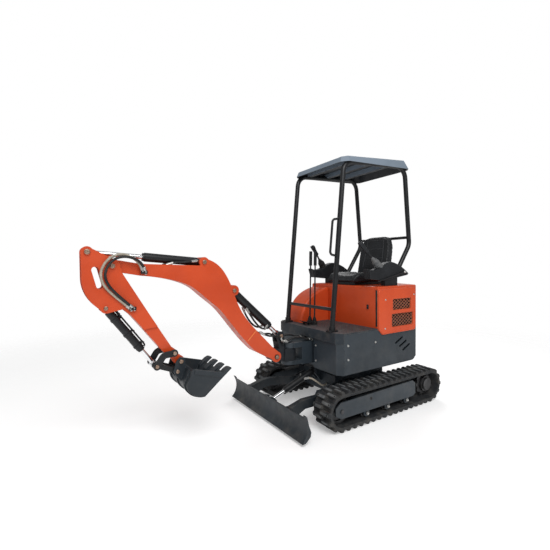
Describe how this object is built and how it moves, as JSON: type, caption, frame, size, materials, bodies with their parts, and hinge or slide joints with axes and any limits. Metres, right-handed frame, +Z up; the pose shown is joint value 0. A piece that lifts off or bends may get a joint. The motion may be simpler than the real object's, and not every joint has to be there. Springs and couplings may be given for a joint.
{
  "type": "mini excavator",
  "caption": "Small tracked digger with an open four-post canopy, gooseneck boom, crescent arm, toothed bucket and front dozer blade, all on working pivots.",
  "frame": {"origin": "on the ground under the middle of the whole machine's box", "axes": "+X forward along the tracks, +Y to the operator's left, +Z up"},
  "size_m": [3.067, 1.166, 2.3592],
  "materials": {
    "track_rubber": "worn matte",
    "frame_paint": "dark blue-grey satin paint",
    "cast_steel": "dark cast steel",
    "black_paint": "black satin paint",
    "rod_chrome": "polished",
    "counterweight_iron": "painted cast iron",
    "deck_rubber": "ribbed floor mat",
    "body_paint": "orange-red gloss paint",
    "tank_plastic": "orange-red moulded cover",
    "engine_iron": "engine grey",
    "seat_fabric": "black vinyl over foam",
    "black_plastic": "moulded",
    "cast_black": "black painted casting"
  },
  "bodies": {
    "undercarriage": {"track_left": "track_rubber", "track_right": "track_rubber", "track_frame_left": "frame_paint", "track_frame_right": "frame_paint", "sprocket_left": "cast_steel", "sprocket_right": "cast_steel", "idler_left": "cast_steel", "idler_right": "cast_steel", "rollers_left": "cast_steel", "rollers_right": "cast_steel", "centre_frame": "frame_paint", "slew_ring": "cast_steel"},
    "upper": {"upper_frame": "frame_paint", "skirt_left": "frame_paint", "skirt_right": "frame_paint", "skirt_front": "frame_paint", "counterweight": "counterweight_iron", "deck": "deck_rubber", "engine_cover": "body_paint", "side_vents": "black_paint", "engine": "engine_iron", "tank_cover": "tank_plastic", "seat_pan": "black_paint", "seat_cushion": "seat_fabric", "seat_back": "seat_fabric", "consoles": "black_plastic", "control_levers": "black_plastic", "canopy_posts_front": "black_paint", "canopy_posts_rear": "black_paint", "canopy_bars": "black_paint", "canopy_roof": "black_plastic", "grab_handle": "black_paint"},
    "blade": {"blade": "frame_paint"},
    "blade_cyl_barrel": {"blade_barrel": "black_paint"},
    "blade_cyl_rod": {"blade_rod": "rod_chrome"},
    "bonnet": {"rear_bonnet": "body_paint"},
    "swing": {"swing_post": "cast_black"},
    "boom": {"boom": "body_paint"},
    "boom_cyl_barrel": {"boom_barrel": "black_paint"},
    "boom_cyl_rod": {"boom_rod": "rod_chrome"},
    "arm": {"arm": "body_paint"},
    "arm_cyl_barrel": {"arm_barrel": "black_paint"},
    "arm_cyl_rod": {"arm_rod": "rod_chrome"},
    "bucket_cyl_barrel": {"bucket_barrel": "black_paint"},
    "bucket_cyl_rod": {"bucket_rod": "rod_chrome"},
    "rocker": {"rocker": "black_paint"},
    "link": {"bucket_link": "black_paint"},
    "bucket": {"bucket": "frame_paint"}
  },
  "joints": [
    {"name": "slew", "type": "hinge", "parent": "undercarriage", "child": "upper", "pos_m": [-0.7875, 0, 0.408], "axis": [0, 0, 1], "continuous": true},
    {"name": "blade_lift", "type": "hinge", "parent": "undercarriage", "child": "blade", "pos_m": [-0.3475, 0, 0.196], "axis": [0, -1, 0], "range_deg": [-22, 24]},
    {"name": "blade_barrel_tilt", "type": "hinge", "parent": "undercarriage", "child": "blade_cyl_barrel", "pos_m": [-0.3975, 0, 0.335], "axis": [0, -1, 0], "range_deg": [-18.27, 19.9]},
    {"name": "blade_rod_slide", "type": "slide", "parent": "blade_cyl_barrel", "child": "blade_cyl_rod", "axis": [0.9336, 0, -0.3583], "range_m": [-0.04899, 0.04507]},
    {"name": "bonnet_open", "type": "hinge", "parent": "upper", "child": "bonnet", "pos_m": [-1.3085, -0.457, 0.9], "axis": [0, 0, 1], "range_deg": [0, 75]},
    {"name": "boom_swing", "type": "hinge", "parent": "upper", "child": "swing", "pos_m": [-0.1075, 0, 0.54], "axis": [0, 0, 1], "range_deg": [-50, 70]},
    {"name": "boom_lift", "type": "hinge", "parent": "swing", "child": "boom", "pos_m": [0.0615, 0, 0.54], "axis": [0, -1, 0], "range_deg": [-58, 30]},
    {"name": "boom_barrel_tilt", "type": "hinge", "parent": "boom", "child": "boom_cyl_barrel", "pos_m": [0.4595, 0, 1.134], "axis": [0, -1, 0], "range_deg": [-2.87, 1.63]},
    {"name": "boom_rod_slide", "type": "slide", "parent": "boom_cyl_barrel", "child": "boom_cyl_rod", "axis": [-0.7333, 0, -0.6799], "range_m": [-0.08427, 0.16106]},
    {"name": "arm_fold", "type": "hinge", "parent": "boom", "child": "arm", "pos_m": [1.3505, 0, 1.338], "axis": [0, 1, 0], "range_deg": [-100, 8]},
    {"name": "arm_barrel_tilt", "type": "hinge", "parent": "boom", "child": "arm_cyl_barrel", "pos_m": [0.7085, 0, 1.362], "axis": [0, 1, 0], "range_deg": [-10.14, 1.09]},
    {"name": "arm_rod_slide", "type": "slide", "parent": "arm_cyl_barrel", "child": "arm_cyl_rod", "axis": [0.9962, 0, 0.0871], "range_m": [-0.24799, 0.02168]},
    {"name": "bucket_curl", "type": "hinge", "parent": "arm", "child": "bucket", "pos_m": [0.9065, 0, 0.637], "axis": [0, 1, 0], "range_deg": [-72, 45]},
    {"name": "rocker_turn", "type": "hinge", "parent": "arm", "child": "rocker", "pos_m": [0.9565, 0, 0.707], "axis": [0, 1, 0], "range_deg": [-38.45, 24.14]},
    {"name": "link_turn", "type": "hinge", "parent": "rocker", "child": "link", "pos_m": [1.0805, 0, 0.628], "axis": [0, 1, 0], "range_deg": [-14.24, 22.61]},
    {"name": "bucket_barrel_tilt", "type": "hinge", "parent": "arm", "child": "bucket_cyl_barrel", "pos_m": [1.3955, 0, 1.06], "axis": [0, 1, 0], "range_deg": [-1.58, 2.35]},
    {"name": "bucket_rod_slide", "type": "slide", "parent": "bucket_cyl_barrel", "child": "bucket_cyl_rod", "axis": [-0.5892, 0, -0.808], "range_m": [-0.09285, 0.05878]}
  ],
  "couplings": [
    {"joint": "blade_barrel_tilt", "follows": "blade_lift", "ratio": 0.81676},
    {"joint": "blade_rod_slide", "follows": "blade_lift", "m_per_rad": -0.11217},
    {"joint": "boom_barrel_tilt", "follows": "boom_lift", "ratio": 0.04431},
    {"joint": "boom_rod_slide", "follows": "boom_lift", "m_per_rad": -0.15713},
    {"joint": "arm_barrel_tilt", "follows": "arm_fold", "ratio": 0.09843},
    {"joint": "arm_rod_slide", "follows": "arm_fold", "m_per_rad": 0.14094},
    {"joint": "rocker_turn", "follows": "bucket_curl", "ratio": 0.5298},
    {"joint": "link_turn", "follows": "bucket_curl", "ratio": -0.3098},
    {"joint": "bucket_barrel_tilt", "follows": "bucket_curl", "ratio": -0.0285},
    {"joint": "bucket_rod_slide", "follows": "bucket_curl", "m_per_rad": 0.0723}
  ]
}
